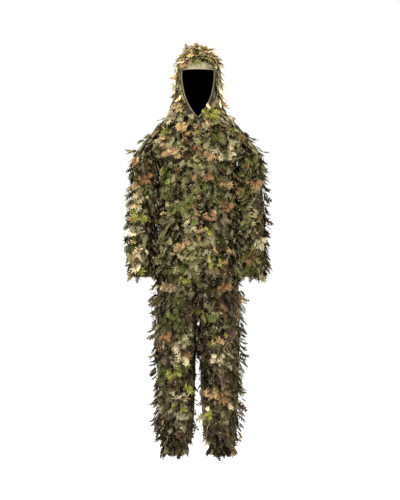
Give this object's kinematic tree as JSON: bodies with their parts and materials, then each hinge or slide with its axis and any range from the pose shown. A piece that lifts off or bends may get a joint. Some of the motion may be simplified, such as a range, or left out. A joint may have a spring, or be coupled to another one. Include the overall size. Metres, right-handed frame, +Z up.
{
  "type": "ghillie suit",
  "caption": "Two-piece leaf camouflage suit: hooded jacket with front zip and elasticated cuffs over trousers with elasticated waist and ankles, hanging as worn.",
  "frame": {"origin": "centre of the trouser waistband, inside the wearer's waist", "axes": "+Z up along the wearer, -Y is where the wearer faces, +X towards the wearer's left"},
  "size_m": [0.6242, 0.2807, 1.75],
  "materials": {
    "jacket_cloth": "matt printed woven polyester in sage, olive and bark",
    "trouser_cloth": "matt printed woven polyester in bark brown and grey",
    "leaves": "matt laser-cut printed leaf cloth in sage, rust, green and brown",
    "hem_band": "folded and stitched cloth casing",
    "elastic": "knitted elastic",
    "zip_tape": "woven tape",
    "zip_teeth": "moulded plastic teeth",
    "zip_metal": "dark painted zinc"
  },
  "bodies": {
    "trousers": {"waistband": "hem_band", "waist_elastic": "elastic", "seat_front_left": "trouser_cloth", "seat_front_right": "trouser_cloth", "seat_back_left": "trouser_cloth", "seat_back_right": "trouser_cloth", "hip_left": "trouser_cloth", "hip_right": "trouser_cloth"},
    "jacket": {"jacket_back": "jacket_cloth", "jacket_front_left": "jacket_cloth", "jacket_front_right": "jacket_cloth", "jacket_hem_band": "hem_band", "jacket_hem_elastic": "elastic", "zip_tape_left": "zip_tape", "zip_tape_right": "zip_tape", "zip_teeth_left": "zip_teeth", "zip_teeth_right": "zip_teeth", "zip_box": "zip_teeth", "shoulder_left": "jacket_cloth", "shoulder_right": "jacket_cloth", "leaf_strip_front_left": "leaves", "leaf_strip_front_right": "leaves", "leaf_strip_back_left": "leaves", "leaf_strip_back_right": "leaves"},
    "hood": {"hood_left": "jacket_cloth", "hood_right": "jacket_cloth", "hood_edge_band": "hem_band"},
    "zip_slider": {"zip_slider": "zip_metal"},
    "zip_pull": {"zip_pull": "zip_metal"},
    "sleeve_upper_left": {"sleeve_upper_left": "jacket_cloth", "elbow_left": "jacket_cloth", "leaf_strip_upper_sleeve_left": "leaves"},
    "sleeve_lower_left": {"sleeve_lower_left": "jacket_cloth", "cuff_left": "hem_band", "cuff_elastic_left": "elastic", "leaf_strip_lower_sleeve_left": "leaves"},
    "thigh_left": {"thigh_left": "trouser_cloth", "knee_left": "trouser_cloth", "leaf_strip_thigh_left": "leaves"},
    "shin_left": {"shin_left": "trouser_cloth", "ankle_hem_left": "hem_band", "ankle_elastic_left": "elastic", "leaf_strip_shin_left": "leaves"},
    "sleeve_upper_right": {"sleeve_upper_right": "jacket_cloth", "elbow_right": "jacket_cloth", "leaf_strip_upper_sleeve_right": "leaves"},
    "sleeve_lower_right": {"sleeve_lower_right": "jacket_cloth", "cuff_right": "hem_band", "cuff_elastic_right": "elastic", "leaf_strip_lower_sleeve_right": "leaves"},
    "thigh_right": {"thigh_right": "trouser_cloth", "knee_right": "trouser_cloth", "leaf_strip_thigh_right": "leaves"},
    "shin_right": {"shin_right": "trouser_cloth", "ankle_hem_right": "hem_band", "ankle_elastic_right": "elastic", "leaf_strip_shin_right": "leaves"}
  },
  "joints": [
    {"name": "jacket_lift", "type": "slide", "parent": "trousers", "child": "jacket", "axis": [0, 0, 1], "range_m": [0, 0.25]},
    {"name": "hood_tip", "type": "hinge", "parent": "jacket", "child": "hood", "pos_m": [0, 0.118, 0.5425], "axis": [-1, 0, 0], "range_deg": [0, 90]},
    {"name": "zip_travel", "type": "slide", "parent": "jacket", "child": "zip_slider", "axis": [0, -0.0366, -0.9993], "range_m": [0, 0.59]},
    {"name": "zip_pull_swing", "type": "hinge", "parent": "zip_slider", "child": "zip_pull", "pos_m": [0, -0.12261, 0.48728], "axis": [-1, 0, 0], "range_deg": [0, 150]},
    {"name": "shoulder_left", "type": "hinge", "parent": "jacket", "child": "sleeve_upper_left", "pos_m": [0.224, 0, 0.36], "axis": [0, -1, 0], "range_deg": [0, 80], "deforming": ["shoulder_left"]},
    {"name": "elbow_left", "type": "hinge", "parent": "sleeve_upper_left", "child": "sleeve_lower_left", "pos_m": [0.234, 0, 0.11], "axis": [-1, 0, 0], "range_deg": [0, 80], "deforming": ["elbow_left"]},
    {"name": "hip_left", "type": "hinge", "parent": "trousers", "child": "thigh_left", "pos_m": [0.093, 0, -0.23], "axis": [-1, 0, 0], "range_deg": [-10, 60], "deforming": ["hip_left"]},
    {"name": "knee_left", "type": "hinge", "parent": "thigh_left", "child": "shin_left", "pos_m": [0.093, 0, -0.53], "axis": [1, 0, 0], "range_deg": [0, 80], "deforming": ["knee_left"]},
    {"name": "shoulder_right", "type": "hinge", "parent": "jacket", "child": "sleeve_upper_right", "pos_m": [-0.224, 0, 0.36], "axis": [0, 1, 0], "range_deg": [0, 80], "deforming": ["shoulder_right"]},
    {"name": "elbow_right", "type": "hinge", "parent": "sleeve_upper_right", "child": "sleeve_lower_right", "pos_m": [-0.234, 0, 0.11], "axis": [-1, 0, 0], "range_deg": [0, 80], "deforming": ["elbow_right"]},
    {"name": "hip_right", "type": "hinge", "parent": "trousers", "child": "thigh_right", "pos_m": [-0.093, 0, -0.23], "axis": [-1, 0, 0], "range_deg": [-10, 60], "deforming": ["hip_right"]},
    {"name": "knee_right", "type": "hinge", "parent": "thigh_right", "child": "shin_right", "pos_m": [-0.093, 0, -0.53], "axis": [1, 0, 0], "range_deg": [0, 80], "deforming": ["knee_right"]}
  ]
}
